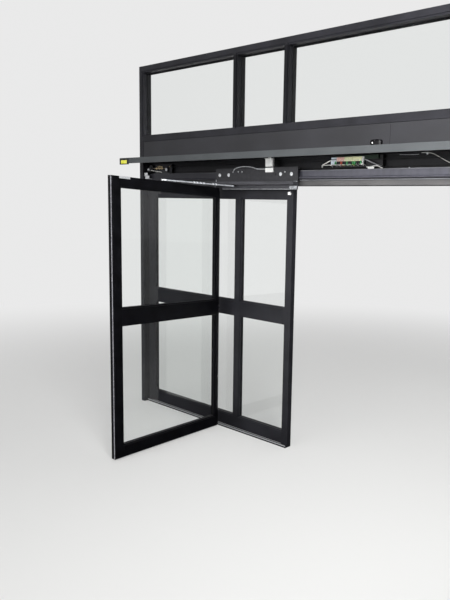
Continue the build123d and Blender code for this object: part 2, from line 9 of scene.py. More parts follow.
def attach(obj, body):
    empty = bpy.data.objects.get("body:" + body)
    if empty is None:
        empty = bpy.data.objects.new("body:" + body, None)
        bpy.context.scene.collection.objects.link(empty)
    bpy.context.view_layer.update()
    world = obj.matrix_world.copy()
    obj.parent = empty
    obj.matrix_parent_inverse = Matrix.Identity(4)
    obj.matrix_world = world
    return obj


# Automatic sliding entrance with its header open.
# The CAD nodes carry the shapes, and this file adds finishes, small fittings and thin trim.
# Fittings are set out in mm on the frame's axes, the studio and the camera in metres.

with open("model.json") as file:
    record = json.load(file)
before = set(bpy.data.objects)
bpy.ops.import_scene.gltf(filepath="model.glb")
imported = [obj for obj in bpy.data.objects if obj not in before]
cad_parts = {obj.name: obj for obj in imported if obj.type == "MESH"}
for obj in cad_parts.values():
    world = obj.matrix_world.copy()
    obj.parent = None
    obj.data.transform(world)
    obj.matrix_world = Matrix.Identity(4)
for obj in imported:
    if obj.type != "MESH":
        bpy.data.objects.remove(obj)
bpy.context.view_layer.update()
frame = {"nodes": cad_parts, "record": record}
nodes = frame["nodes"]
joints = {joint["name"]: joint for joint in frame["record"]["behaviour"]["joints"]}
print("frame loaded:", len(nodes), "nodes")

mm = 0.001
toFront, toBack, toRight, upward = (0, -1, 0), (0, 1, 0), (1, 0, 0), (0, 0, 1)
centreX = joints["cover_hinge"]["pos_m"][0]  # the cover's hinge is set at the entrance's middle


def linear(hexColour):
    # sRGB hex to linear, with alpha 1
    out = []
    for i in (1, 3, 5):
        c = int(hexColour[i:i + 2], 16) / 255
        out.append(c / 12.92 if c <= 0.04045 else ((c + 0.055) / 1.055) ** 2.4)
    return (*out, 1.0)


def toneOf(hexColour, factor):
    # the same hue a little darker or lighter, as hex
    channels = [int(hexColour[i:i + 2], 16) * factor for i in (1, 3, 5)]
    return "#" + "".join("%02x" % min(255, round(c)) for c in channels)


def addNode(tree, kind, settings=None, links=None):
    # one node with its settings, and links as {input: (node, output)}
    node = tree.nodes.new(kind)
    for key, value in (settings or {}).items():
        if isinstance(key, str) and hasattr(node, key):
            setattr(node, key, value)
        else:
            node.inputs[key].default_value = value
    for key, (source, output) in (links or {}).items():
        tree.links.new(source.outputs[output], node.inputs[key])
    return node


def startMaterial(name):
    mat = bpy.data.materials.new(name)
    mat.use_nodes = True
    return mat, mat.node_tree, mat.node_tree.nodes["Principled BSDF"]


def objectNoise(tree, sizeMm, detail, stretch=(1, 1, 1)):
    # noise on Object coordinates whose grain is sizeMm across
    coord = addNode(tree, "ShaderNodeTexCoord")
    mapping = addNode(tree, "ShaderNodeMapping", {"Scale": stretch}, {"Vector": (coord, "Object")})
    return addNode(tree, "ShaderNodeTexNoise", {"Scale": 1 / (sizeMm * mm), "Detail": detail},
                   {"Vector": (mapping, "Vector")})


# Sockets of a colour mix, by their numbers
mixSocket = {"share": 0, "under": 6, "over": 7, "result": 2}
# The part of a noise's range over which shades and roughness change
noiseSpan = {"shades": (0.35, 0.65), "rough": (0.3, 0.7)}
# Painted shade: base colours darken towards the left end, standing in for the shade there
leftShade = {"fromX": 0.9, "toX": 2.4, "most": 0.8, "colour": "#232327"}
dustFrom = 0.6  # how far up a face must look before dust stays on it


def dustLedges(tree, shade, dustHex, amount):
    # settled dust greys whatever looks up
    normal = addNode(tree, "ShaderNodeNewGeometry")
    split = addNode(tree, "ShaderNodeSeparateXYZ", None, {"Vector": (normal, "Normal")})
    up = addNode(tree, "ShaderNodeMapRange", {"From Min": dustFrom, "From Max": 1.0, "To Max": amount},
                 {"Value": (split, "Z")})
    return addNode(tree, "ShaderNodeMix", {"data_type": "RGBA", mixSocket["over"]: linear(dustHex)},
                   {mixSocket["share"]: (up, "Result"),
                    mixSocket["under"]: (shade, mixSocket["result"])})


def darkenLeft(tree, shade):
    # painted shade that thins out along X, darkest at the idler end
    coord = addNode(tree, "ShaderNodeTexCoord")
    split = addNode(tree, "ShaderNodeSeparateXYZ", None, {"Vector": (coord, "Object")})
    share = addNode(tree, "ShaderNodeMapRange",
                    {"From Min": leftShade["fromX"], "From Max": leftShade["toX"],
                     "To Min": leftShade["most"], "To Max": 0.0}, {"Value": (split, "X")})
    return addNode(tree, "ShaderNodeMix",
                   {"data_type": "RGBA", mixSocket["over"]: linear(leftShade["colour"])},
                   {mixSocket["share"]: (share, "Result"),
                    mixSocket["under"]: (shade, mixSocket["result"])})


def makeFinish(name, look):
    # A material from its look. Shades, roughness and relief each wander with a noise, given as
    # grain in mm, detail and stretch. Relief is a depth in mm.
    mat, tree, shader = startMaterial(name)
    shader.inputs["Metallic"].default_value = look.get("metallic", 0.0)
    shader.inputs["Specular IOR Level"].default_value = look.get("specular", 0.5)

    dark, light = look["shades"]
    low, high = look.get("shadeSpan", noiseSpan["shades"])
    spread = addNode(tree, "ShaderNodeMapRange", {"From Min": low, "From Max": high},
                     {"Value": (objectNoise(tree, *look["shadeNoise"]), "Fac")})
    shade = addNode(tree, "ShaderNodeMix",
                    {"data_type": "RGBA", mixSocket["under"]: linear(dark),
                     mixSocket["over"]: linear(light)}, {mixSocket["share"]: (spread, "Result")})
    if "dust" in look:
        shade = dustLedges(tree, shade, *look["dust"])
    if look.get("shadedLeft"):
        shade = darkenLeft(tree, shade)
    tree.links.new(shade.outputs[mixSocket["result"]], shader.inputs["Base Color"])

    if "roughNoise" in look:
        smooth, rough = look["rough"]
        low, high = noiseSpan["rough"]
        sheen = addNode(tree, "ShaderNodeMapRange",
                        {"From Min": low, "From Max": high, "To Min": smooth, "To Max": rough},
                        {"Value": (objectNoise(tree, *look["roughNoise"]), "Fac")})
        tree.links.new(sheen.outputs["Result"], shader.inputs["Roughness"])
    else:
        shader.inputs["Roughness"].default_value = look["rough"]

    if "relief" in look:
        bump = addNode(tree, "ShaderNodeBump", {"Strength": 1.0, "Distance": look["relief"] * mm},
                       {"Height": (objectNoise(tree, *look["reliefNoise"]), "Fac")})
        tree.links.new(bump.outputs["Normal"], shader.inputs["Normal"])
    return mat


# Dark bronze anodised aluminium, extruded: nearly black, a soft sheen, a little uneven.
# The grain of its etch is drawn at 1.5 mm, coarser than it is, so that it shows.
darkAnodised = makeFinish("dark anodised aluminium", {
    "specular": 0.25, "shades": ("#1b1b1f", "#242429"), "shadeNoise": (180, 4.0),
    "rough": (0.42, 0.54), "roughNoise": (180, 4.0), "dust": ("#4a4a4c", 0.35),
    "relief": 0.01, "reliefNoise": (1.5, 2.0)})

# Leaf extrusions, anodised black: darker than the frame as painted shade, and handled, so the sheen wanders
# more
leafShadedAnodised = makeFinish("black anodised leaf, painted shade", {
    "specular": 0.15, "shades": ("#050507", "#0a0a0f"), "shadeNoise": (90, 4.0),
    "rough": (0.33, 0.5), "roughNoise": (90, 4.0), "dust": ("#4a4a4c", 0.5),
    "relief": 0.01, "reliefNoise": (1.5, 2.0)})

# Transom mullions: the frame's finish, darkened as painted shade
mullionShadedAnodised = makeFinish("mullion anodising, painted shade", {
    "specular": 0.2, "shades": ("#0d0d11", "#141418"), "shadeNoise": (180, 4.0),
    "rough": (0.42, 0.54), "roughNoise": (180, 4.0), "dust": ("#4a4a4c", 0.35)})

# Powder-coated sheet: dark grey, satin, with the faint orange peel of the oven
powderGrey = makeFinish("powder-coated grey sheet", {
    "specular": 0.35, "shades": ("#27272a", "#2d2d31"), "shadeNoise": (400, 3.0), "rough": 0.45,
    "relief": 0.03, "reliefNoise": (2.5, 1.0)})

# The cover's sheet: the same coating in a mid grey, dusty on top
coverGrey = makeFinish("powder-coated cover sheet", {
    "specular": 0.35, "shades": ("#404345", "#474a4c"), "shadeNoise": (300, 3.0), "rough": 0.42,
    "dust": ("#6a6b6a", 0.3), "relief": 0.03, "reliefNoise": (2.5, 1.0)})

# Painted header extrusion: black inside, faintly streaked along its length
headerDark = makeFinish("painted header extrusion", {
    "specular": 0.3, "shades": ("#131316", "#1b1b1f"), "shadeNoise": (50, 3.0, (0.15, 1, 1)),
    "rough": (0.44, 0.56), "roughNoise": (60, 3.0)})

# Anodised track: drawn lines along X, and faint upright wipe marks, with painted shade darkening its left
# end.
# The lines are drawn 1.6 mm apart, coarser than they are, so that they show.
trackMetal = makeFinish("anodised track extrusion", {
    "metallic": 0.35, "shades": ("#46464e", "#52525c"), "shadeNoise": (45, 2.0, (1, 1, 0.06)),
    "shadeSpan": (0.25, 0.75), "rough": (0.28, 0.44), "roughNoise": (1.6, 2.0, (0.02, 1, 1)),
    "shadedLeft": True})

# Sill extrusion: the same drawn finish, greyer and warmer, with painted shade darkening its left end
sillMetal = makeFinish("anodised sill extrusion", {
    "metallic": 0.3, "shades": ("#4e4d4e", "#5b5a5a"), "shadeNoise": (120, 2.0, (0.4, 1, 1)),
    "rough": (0.34, 0.48), "roughNoise": (1.6, 2.0, (0.02, 1, 1)), "shadedLeft": True})

# Steel plate, black phosphated and oiled: dark and cloudy
phosphated = makeFinish("phosphated steel plate", {
    "metallic": 0.2, "shades": ("#252528", "#303034"), "shadeNoise": (25, 3.0),
    "rough": (0.38, 0.54), "roughNoise": (25, 3.0)})

# Hanger bar, extruded and dark, rubbed to grey along its length
hangerGrey = makeFinish("rubbed hanger extrusion", {
    "metallic": 0.25, "shades": ("#323236", "#45454a"), "shadeNoise": (30, 3.0, (0.1, 1, 1)),
    "rough": (0.34, 0.5), "roughNoise": (30, 3.0, (0.1, 1, 1))})

# Pale steel: the keeper's worn steel, and painted highlights along the plate's and hanger's edges
wornSteelAndHighlight = makeFinish("worn steel and painted highlight", {
    "metallic": 0.4, "shades": ("#8d8f93", "#bcbec1"), "shadeNoise": (30, 2.0),
    "shadeSpan": (0.3, 0.7), "rough": 0.42})

# Painted highlight for extrusion edges: a pale strip, with painted shade darkening its left end
edgeHighlight = makeFinish("painted edge highlight", {
    "metallic": 0.3, "shades": ("#5c5d62", "#85868b"), "shadeNoise": (60, 2.0, (0.3, 1, 1)),
    "shadeSpan": (0.3, 0.7), "rough": 0.45, "shadedLeft": True})

# Zinc-plated steel: bright, faintly clouded
zincPlated = makeFinish("zinc-plated steel", {
    "metallic": 0.5, "shades": ("#cfd1d4", "#e6e8ea"), "shadeNoise": (8, 3.0),
    "rough": (0.3, 0.46), "roughNoise": (8, 3.0)})

# Arm bar, drawn aluminium gone dull: lines along Y, 1.2 mm apart so that they show
armBar = makeFinish("drawn aluminium arm, oxidised", {
    "metallic": 0.7, "shades": ("#7c7f83", "#9b9ea2"), "shadeNoise": (18, 2.0),
    "rough": (0.36, 0.5), "roughNoise": (1.2, 2.0, (1, 0.02, 1))})

# Brass of the clamping screws: pale, dulled, patchy
dullBrass = makeFinish("dulled brass", {
    "metallic": 0.5, "shades": ("#bfa982", "#e0cfae"), "shadeNoise": (5, 3.0), "rough": 0.42})

# Neoprene belt: flat black, with moulded teeth. A wave of scale 1 repeats waveBands times in
# 2 pi units.
belt = {"toothMm": 5.0, "toothDepthMm": 1.2, "waveBands": 20}
toothedBelt = makeFinish("toothed neoprene belt", {
    "specular": 0.3, "shades": ("#111113", "#1a1a1d"), "shadeNoise": (60, 2.0), "rough": 0.75})
beltTree = toothedBelt.node_tree
beltCoord = addNode(beltTree, "ShaderNodeTexCoord")
teeth = addNode(beltTree, "ShaderNodeTexWave",
                {"wave_type": "BANDS", "bands_direction": "X",
                 "Scale": 2 * pi / (belt["waveBands"] * belt["toothMm"] * mm)},
                {"Vector": (beltCoord, "Object")})
toothBump = addNode(beltTree, "ShaderNodeBump",
                    {"Strength": 1.0, "Distance": belt["toothDepthMm"] * mm},
                    {"Height": (teeth, "Fac")})
beltTree.links.new(toothBump.outputs["Normal"],
                   beltTree.nodes["Principled BSDF"].inputs["Normal"])

# Glazing gasket: neoprene, black, dulled by dust
blackRubber = makeFinish("black neoprene gasket", {
    "specular": 0.3, "shades": ("#131315", "#1f1f22"), "shadeNoise": (40, 3.0), "rough": 0.75,
    "relief": 0.02, "reliefNoise": (1.0, 2.0)})

# Pile weatherstrip: grey, matt, the pile running in short tufts
greyPile = makeFinish("grey pile weatherstrip", {
    "specular": 0.2, "shades": ("#74747a", "#a6a6ac"), "shadeNoise": (6.0, 2.0, (1, 1, 0.5)),
    "rough": 0.9, "relief": 0.4, "reliefNoise": (6.0, 2.0, (1, 1, 0.5))})

# Finger guard: extruded vinyl, satin, so it shows a thin upright highlight
satinVinyl = makeFinish("satin black vinyl guard", {
    "specular": 0.6, "shades": ("#141416", "#1c1c1f"), "shadeNoise": (120, 2.0),
    "rough": (0.2, 0.3), "roughNoise": (120, 2.0)})

# Moulded ABS case: black, with the fine grain of the mould
absBlack = makeFinish("moulded black ABS", {
    "shades": ("#101012", "#18181b"), "shadeNoise": (70, 3.0), "rough": 0.55,
    "relief": 0.03, "reliefNoise": (1.2, 1.0)})

# Smoked polycarbonate of the sensor's dome: nearly black, a soft gloss, lightly scuffed
smokedPolycarbonate = makeFinish("smoked polycarbonate", {
    "specular": 0.12, "shades": ("#040405", "#08080a"), "shadeNoise": (12, 3.0),
    "rough": (0.26, 0.36), "roughNoise": (12, 3.0)})

# Nylon: natural white, waxy
whiteNylon = makeFinish("white nylon", {
    "shades": ("#ececea", "#f6f6f4"), "shadeNoise": (30, 3.0), "rough": 0.45,
    "relief": 0.02, "reliefNoise": (1.5, 1.0)})

# Nylon in its dark grade, as moulded for pulleys
darkNylon = makeFinish("dark nylon", {
    "shades": ("#202023", "#2a2a2e"), "shadeNoise": (20, 2.0), "rough": 0.5,
    "relief": 0.03, "reliefNoise": (1.2, 1.0)})

# Yellow polyamide, glossy from the mould
yellowPolyamide = makeFinish("yellow polyamide", {
    "shades": ("#dcd930", "#ecea6a"), "shadeNoise": (20, 3.0), "rough": 0.35})

# Terminal rail's polyamide: a dark green, darkened further as a painted shadow behind the blocks
railShadowPolyamide = makeFinish("green polyamide, painted shadow", {
    "shades": ("#0c1e12", "#132d1c"), "shadeNoise": (10, 3.0), "rough": 0.5})

# Tempered float glass: clear, a faint green in its thickness
glazing = {"colour": "#fafcfb", "ior": 1.45}
temperedGlass, _, glassShader = startMaterial("tempered float glass")
glassShader.inputs["Base Color"].default_value = linear(glazing["colour"])
glassShader.inputs["Roughness"].default_value = 0.0
glassShader.inputs["Transmission Weight"].default_value = 1.0
glassShader.inputs["IOR"].default_value = glazing["ior"]

slotFinishes = {
    "frame_metal": darkAnodised, "leaf_metal": leafShadedAnodised, "glass": temperedGlass,
    "catch_plastic": whiteNylon, "guide_metal": darkAnodised, "fascia_metal": powderGrey,
    "header_metal": headerDark, "track_metal": trackMetal, "bracket_steel": phosphated,
    "belt_rubber": toothedBelt, "control_case": absBlack, "terminal_plastic": railShadowPolyamide,
    "cover_metal": coverGrey, "sensor_plastic": smokedPolycarbonate,
    "carriage_metal": phosphated, "roller_steel": zincPlated, "strike_steel": zincPlated,
    "arm_metal": armBar, "pulley_plastic": darkNylon,
}
# Nodes whose finish differs from the rest of their slot
nodeFinishes = {
    "carriage_left_hanger": hangerGrey, "carriage_right_hanger": hangerGrey,
    "header_sill": sillMetal, "transom_mullions": mullionShadedAnodised,
}
for part in frame["record"]["subparts"]:
    nodeMesh = nodes[part["node"]].data
    nodeMesh.materials.clear()
    nodeMesh.materials.append(nodeFinishes.get(part["node"], slotFinishes[part["material_slot"]]))
print("finishes set")


def placePiece(data, name, body):
    # a mesh or curve becomes an object at the origin that rides on a body
    obj = bpy.data.objects.new(name, data)
    bpy.context.scene.collection.objects.link(obj)
    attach(obj, body)
    return obj


def finishPiece(bm, name, body, material):
    # the bmesh becomes a piece of one material
    bmesh.ops.recalc_face_normals(bm, faces=bm.faces)
    mesh = bpy.data.meshes.new(name)
    bm.to_mesh(mesh)
    bm.free()
    mesh.materials.append(material)
    return placePiece(mesh, name, body)


def finishPair(bm, name, body, material):
    # the left-hand piece, and its copy mirrored about the middle of the entrance
    left = finishPiece(bm, name, body, material)
    rightName = name.replace("left", "right")
    mirrored = left.data.copy()
    mirrored.name = rightName
    mirrored.transform(Matrix.Translation((2 * centreX, 0, 0)) @ Matrix.Diagonal((-1, 1, 1, 1)))
    mirrored.flip_normals()
    placePiece(mirrored, rightName, body.replace("left", "right"))


def addBlock(bm, x, y, z, roundMm, segments=2):
    # a block over three spans in mm, its edges rounded
    made = bmesh.ops.create_cube(bm, size=mm)["verts"]
    bmesh.ops.scale(bm, vec=[high - low for low, high in (x, y, z)], verts=made)
    bmesh.ops.translate(bm, vec=[(low + high) / 2 * mm for low, high in (x, y, z)], verts=made)
    edges = list(dict.fromkeys(e for v in made for e in v.link_edges))
    bmesh.ops.bevel(bm, geom=edges, offset=roundMm * mm, affect="EDGES",
                    segments=segments, profile=0.5, material=-1)


def addPin(bm, place, axis, radiusMm, lengthMm, sides=20, domeMm=0.0, topMm=None):
    # a round or hexagonal head standing on place along axis, its outer rim rounded
    turn = Vector(axis).to_track_quat("Z", "Y").to_matrix().to_4x4()
    halfLength = Vector((0, 0, lengthMm / 2 * mm))
    at = Matrix.Translation(Vector(place) * mm) @ turn @ Matrix.Translation(halfLength)
    made = bmesh.ops.create_cone(bm, cap_ends=True, segments=sides, radius1=radiusMm * mm,
                                 radius2=(topMm or radiusMm) * mm, depth=lengthMm * mm,
                                 matrix=at)["verts"]
    if domeMm:
        tip = at @ halfLength
        outward = Vector(axis).normalized()
        slack = 1e-6  # metres
        rim = [e for e in dict.fromkeys(e for v in made for e in v.link_edges)
               if all((v.co - tip).dot(outward) > -slack for v in e.verts)]
        bmesh.ops.bevel(bm, geom=rim, offset=domeMm * mm, affect="EDGES", segments=3,
                        profile=0.5, material=-1)


# Carriage fittings: washers under the axle heads, pins through them, small screws
carriage = {"plateY": -47.0, "headY": -53.0, "axleX": (1152.0, 1266.0, 1879.0, 1997.0),
            "axleZ": 2250.3, "washerR": 15.0, "washerT": 1.6, "pinR": 6.4, "pinOut": 1.6,
            "screws": ((1386, 2276), (1432, 2275), (1927, 2267)), "screwR": 5.5, "screwOut": 2.4,
            "grommet": (1825, 2250), "grommetR": 8, "grommetTopR": 7, "grommetOut": 2.0}
bm = bmesh.new()
for x in carriage["axleX"]:
    addPin(bm, (x, carriage["plateY"], carriage["axleZ"]), toFront, carriage["washerR"],
           carriage["washerT"], sides=28, domeMm=0.4)
    addPin(bm, (x, carriage["headY"], carriage["axleZ"]), toFront, carriage["pinR"],
           carriage["pinOut"], domeMm=0.8)
for x, z in carriage["screws"]:
    addPin(bm, (x, carriage["plateY"], z), toFront, carriage["screwR"], carriage["screwOut"],
           sides=16, domeMm=1.2)
finishPair(bm, "carriage_left_screws", "carriage_left", zincPlated)

# Grommet in the plate's wire hole
bm = bmesh.new()
addPin(bm, (carriage["grommet"][0], carriage["plateY"], carriage["grommet"][1]), toFront,
       carriage["grommetR"], carriage["grommetOut"], domeMm=0.8, topMm=carriage["grommetTopR"])
finishPair(bm, "carriage_left_grommet", "carriage_left", blackRubber)

# Painted highlights: pale strips along the foot of plate and hanger, and up the plate's end
highlightStrips = {"y": (-48.6, -46.8), "plateX": (1103, 2062), "plateZ": (2190.5, 2195.5),
        "endX": (1102, 1108), "endZ": (2190.5, 2214), "footX": (1190, 2060), "footZ": (2131.5, 2135.5)}
bm = bmesh.new()
addBlock(bm, highlightStrips["plateX"], highlightStrips["y"], highlightStrips["plateZ"], roundMm=0.7, segments=3)
addBlock(bm, highlightStrips["endX"], highlightStrips["y"], highlightStrips["endZ"], roundMm=0.7, segments=3)
finishPair(bm, "carriage_left_plate_lip", "carriage_left", wornSteelAndHighlight)
bm = bmesh.new()
addBlock(bm, highlightStrips["footX"], highlightStrips["y"], highlightStrips["footZ"], roundMm=0.7, segments=3)
finishPair(bm, "carriage_left_foot_lip", "carriage_left", wornSteelAndHighlight)

# Serrated keeper at the hanger's end: a back strip with four teeth
keeper = {"x": (1979, 2058), "y": (-48.8, -46.8), "z": (2134, 2158), "firstTooth": 4,
          "teeth": 4, "toothW": 11, "toothH": 9, "pitch": 20, "overlap": 1}
keeperRoot = keeper["z"][0] + keeper["toothH"]
bm = bmesh.new()
addBlock(bm, keeper["x"], keeper["y"], (keeperRoot, keeper["z"][1]), roundMm=0.5)
for i in range(keeper["teeth"]):
    x = keeper["x"][0] + keeper["firstTooth"] + i * keeper["pitch"]
    addBlock(bm, (x, x + keeper["toothW"]), keeper["y"],
             (keeper["z"][0], keeperRoot + keeper["overlap"]), roundMm=0.5)
finishPair(bm, "carriage_left_keeper", "carriage_left", wornSteelAndHighlight)
print("carriage fittings made")


# Terminal blocks: a pale upper body and cap for each way, and a plug below it, dark or green.
# The blue ways' bodies stand lower. Moulded polyamide in its code colours, with a faint grain.
terminals = {"y": (-16.0, -6.3), "z": (2336.0, 2360.0), "plugZ": (2313.0, 2338.0), "x": 2366.0,
             "pitch": 18.0, "gap": 0.8, "blueDrop": 9.0, "capIn": 1, "capBack": 2, "capSeat": 0.2,
             "capZ": (-4, 9), "plugIn": 2, "plugProud": 2, "screwZ": 2345, "screwR": 3.2,
             "screwOut": 1.0, "upper": "bbbssssyyyyyyyyyw", "lower": "bbgkkrkkgkkggkkgw"}
terminalColours = {"b": ("blue_grey", "#dbe6f0"), "s": ("salmon", "#f0c2b6"), "y": ("lemon", "#f8facb"),
                   "k": ("black", "#18181b"), "g": ("green", "#3d9a55"), "r": ("red", "#b8442f"),
                   "w": ("white", "#e8e8e4")}
frontY, backY = terminals["y"]
for key, (word, colour) in terminalColours.items():
    moulded = makeFinish(word + " polyamide terminal", {
        "shades": (toneOf(colour, 0.92), toneOf(colour, 1.03)), "shadeNoise": (14, 2.0),
        "rough": 0.42, "relief": 0.02, "reliefNoise": (1.4, 1.0)})
    drop = terminals["blueDrop"] if key == "b" else 0
    bodyZ = [z - drop for z in terminals["z"]]
    capZ = [terminals["z"][1] + z for z in terminals["capZ"]]
    bm = bmesh.new()
    for i, (up, low) in enumerate(zip(terminals["upper"], terminals["lower"])):
        x0 = terminals["x"] + i * terminals["pitch"]
        x1 = x0 + terminals["pitch"] - terminals["gap"]
        if up == key:
            addBlock(bm, (x0, x1), terminals["y"], bodyZ, roundMm=0.9)
            addBlock(bm, (x0 + terminals["capIn"], x1 - terminals["capIn"]),
                     (frontY + terminals["capBack"], backY - terminals["capSeat"]), capZ, roundMm=0.8)
        if low == key:
            addBlock(bm, (x0 + terminals["plugIn"], x1 - terminals["plugIn"]),
                     (frontY - terminals["plugProud"], backY), terminals["plugZ"], roundMm=1.4)
    finishPiece(bm, "terminals_" + word, "frame", moulded)
bm = bmesh.new()
for i in range(len(terminals["lower"])):
    x = terminals["x"] + (i + 0.5) * terminals["pitch"]
    addPin(bm, (x, frontY, terminals["screwZ"]), toFront, terminals["screwR"],
           terminals["screwOut"], sides=14, domeMm=0.4)
finishPiece(bm, "terminal_screws", "frame", zincPlated)
print("terminals made")


# Leads: soft PVC insulation, slightly grubby, each a short run fixed at both ends
pvcColours = {"white": "#e6e6e2", "grey": "#a9abae", "yellow": "#cfc65a",
              "black": "#1b1b1e", "red": "#b2382f", "green": "#2f8a4a"}
pvc = {}
for word, colour in pvcColours.items():
    pvc[word] = makeFinish("soft PVC insulation, " + word, {
        "shades": (toneOf(colour, 0.9), toneOf(colour, 1.04)), "shadeNoise": (24, 2.0),
        "rough": 0.5, "relief": 0.03, "reliefNoise": (3.0, 1.0)})


def addLead(name, points, radiusMm, colour, body="frame"):
    # a smooth curve through points in mm
    data = bpy.data.curves.new(name, "CURVE")
    data.dimensions = "3D"
    data.bevel_depth = radiusMm * mm
    data.bevel_resolution = 3
    data.resolution_u = 8
    data.use_fill_caps = True
    spline = data.splines.new("NURBS")
    spline.points.add(len(points) - 1)
    for point, place in zip(spline.points, points):
        point.co = (*(Vector(place) * mm), 1)
    spline.order_u = 3
    spline.use_endpoint_u = True
    data.materials.append(pvc[colour])
    placePiece(data, name, body)


# From both ends of the terminals back through the belt's loop, with one lead along the plugs'
# feet and one on the track's top edge
addLead("lead_left", [(2372, -12, 2348), (2362, -15, 2346), (2334, -17, 2334), (2302, -15, 2322),
                      (2276, -8, 2315), (2262, 6, 2310), (2256, 16, 2300)], radiusMm=3.8, colour="white")
addLead("lead_left_low", [(2262, 14, 2302), (2268, 2, 2311), (2290, -12, 2313), (2350, -20, 2313),
                          (2420, -21, 2312.5), (2490, -20, 2313), (2512, -10, 2313),
                          (2518, 6, 2308)], radiusMm=2.2, colour="white")
addLead("lead_right", [(2664, -12, 2350), (2680, -15, 2348), (2712, -17, 2337), (2752, -17, 2322),
                       (2786, -12, 2308), (2806, 4, 2303), (2812, 14, 2300)], radiusMm=3.8, colour="grey")
addLead("lead_right_low", [(2700, -16, 2293), (2722, -17, 2291), (2756, -17, 2296),
                           (2790, -17, 2302), (2818, -14, 2290), (2838, -12, 2283)],
        radiusMm=3.8, colour="white")

# Wires that leave the plugs' feet and turn back under them: colour, from X and to X
wires = (("white", 2376, 2356), ("grey", 2394, 2404), ("white", 2412, 2436), ("red", 2448, 2456),
         ("black", 2466, 2484), ("yellow", 2484, 2474), ("green", 2504, 2522), ("white", 2520, 2542),
         ("white", 2538, 2562), ("green", 2558, 2584), ("yellow", 2576, 2570), ("black", 2596, 2622),
         ("white", 2612, 2604), ("white", 2632, 2650), ("white", 2650, 2672))
for i, (colour, x0, x1) in enumerate(wires):
    addLead("wire_%02d" % i, [(x0, -15, 2318), (x0, -20, 2314), ((x0 + x1) / 2, -22, 2311.5 + i % 3),
                              (x1, -14, 2312), (x1 + 3, 2, 2311), (x1 + 4, 14, 2303)],
            radiusMm=1.7, colour=colour)

# Small plug on the low cable, lying on the track's top edge
plugSmall = {"x": (2706, 2762), "y": (-14.5, -7.5), "z": (2281, 2290.5)}
bm = bmesh.new()
addBlock(bm, plugSmall["x"], plugSmall["y"], plugSmall["z"], roundMm=2.0, segments=3)
finishPiece(bm, "plug_small", "frame", whiteNylon)

# Two leads along the back wall with a clip's screw, and a screw on the track's top edge
addLead("lead_wall", [(3120, 39, 2386), (3170, 38, 2386), (3209, 37, 2380), (3262, 36, 2354),
                      (3312, 37, 2328), (3352, 39, 2310), (3392, 41, 2304)], radiusMm=2.6, colour="white")
addLead("lead_wall_high", [(2940, 39, 2379), (3000, 38, 2377), (3060, 38, 2375),
                           (3100, 39, 2377)], radiusMm=1.8, colour="grey")
headerScrews = {"clip": (3164, 44, 2380), "clipR": 8, "track": (3058, -9, 2280), "trackR": 4.5, "out": 5}
bm = bmesh.new()
addPin(bm, headerScrews["clip"], toFront, headerScrews["clipR"], headerScrews["out"], sides=16, domeMm=1.5)
addPin(bm, headerScrews["track"], upward, headerScrews["trackR"], headerScrews["out"], sides=16, domeMm=1.2)
finishPiece(bm, "header_screws", "frame", zincPlated)

# White plug housing hung under the top flange: body, raised panel, side latch and stem
plugUpper = {"x": (1703, 1784), "y": (-46, -24), "z": (2312, 2380),
             "panelX": (1713, 1774), "panelY": (-48, -45), "panelZ": (2320, 2354),
             "latchX": (1693, 1717), "latchY": (-43, -30), "latchZ": (2373, 2379),
             "stemX": (1731, 1756), "stemY": (-40, -30), "stemZ": (2378, 2389.2)}
bm = bmesh.new()
addBlock(bm, plugUpper["x"], plugUpper["y"], plugUpper["z"], roundMm=3.0, segments=3)
addBlock(bm, plugUpper["panelX"], plugUpper["panelY"], plugUpper["panelZ"], roundMm=1.5)
addBlock(bm, plugUpper["latchX"], plugUpper["latchY"], plugUpper["latchZ"], roundMm=1.0)
addBlock(bm, plugUpper["stemX"], plugUpper["stemY"], plugUpper["stemZ"], roundMm=1.0)
finishPiece(bm, "plug_upper", "frame", whiteNylon)

# White plug housing on the carriage plate, with a raised panel, and the lead that feeds it
plugLower = {"x": (1718, 1806), "y": (-60, -47.2), "z": (2266, 2301),
             "panelX": (1726, 1798), "panelY": (-62, -59), "panelZ": (2275, 2292)}
bm = bmesh.new()
addBlock(bm, plugLower["x"], plugLower["y"], plugLower["z"], roundMm=2.5, segments=3)
addBlock(bm, plugLower["panelX"], plugLower["panelY"], plugLower["panelZ"], roundMm=1.0)
finishPiece(bm, "carriage_left_plug", "carriage_left", whiteNylon)
addLead("carriage_left_lead", [(1322, -49, 2270), (1330, -52, 2284), (1352, -53, 2302),
                               (1400, -53, 2313), (1470, -53, 2318), (1560, -53, 2311),
                               (1610, -53, 2296), (1650, -53, 2293), (1722, -53, 2292)],
        radiusMm=4.2, colour="grey", body="carriage_left")
print("leads and plugs made")


# Idler end: axle nut and the header's end nut, each on a washer
endNuts = ({"x": 334, "z": 2320, "nutR": 11, "nutT": 4, "washerR": 15, "sides": 28},
           {"x": 52, "z": 2322, "nutR": 10, "nutT": 6, "washerR": 13, "sides": 24})
endNutY = {"nut": -8.0, "washer": -7.2, "washerT": 1.2}
bm = bmesh.new()
for nut in endNuts:
    addPin(bm, (nut["x"], endNutY["nut"], nut["z"]), toFront, nut["nutR"], nut["nutT"],
           sides=6, domeMm=0.8)
    addPin(bm, (nut["x"], endNutY["washer"], nut["z"]), toFront, nut["washerR"],
           endNutY["washerT"], sides=nut["sides"], domeMm=0.4)
finishPair(bm, "idler_left_adjuster", "frame", zincPlated)

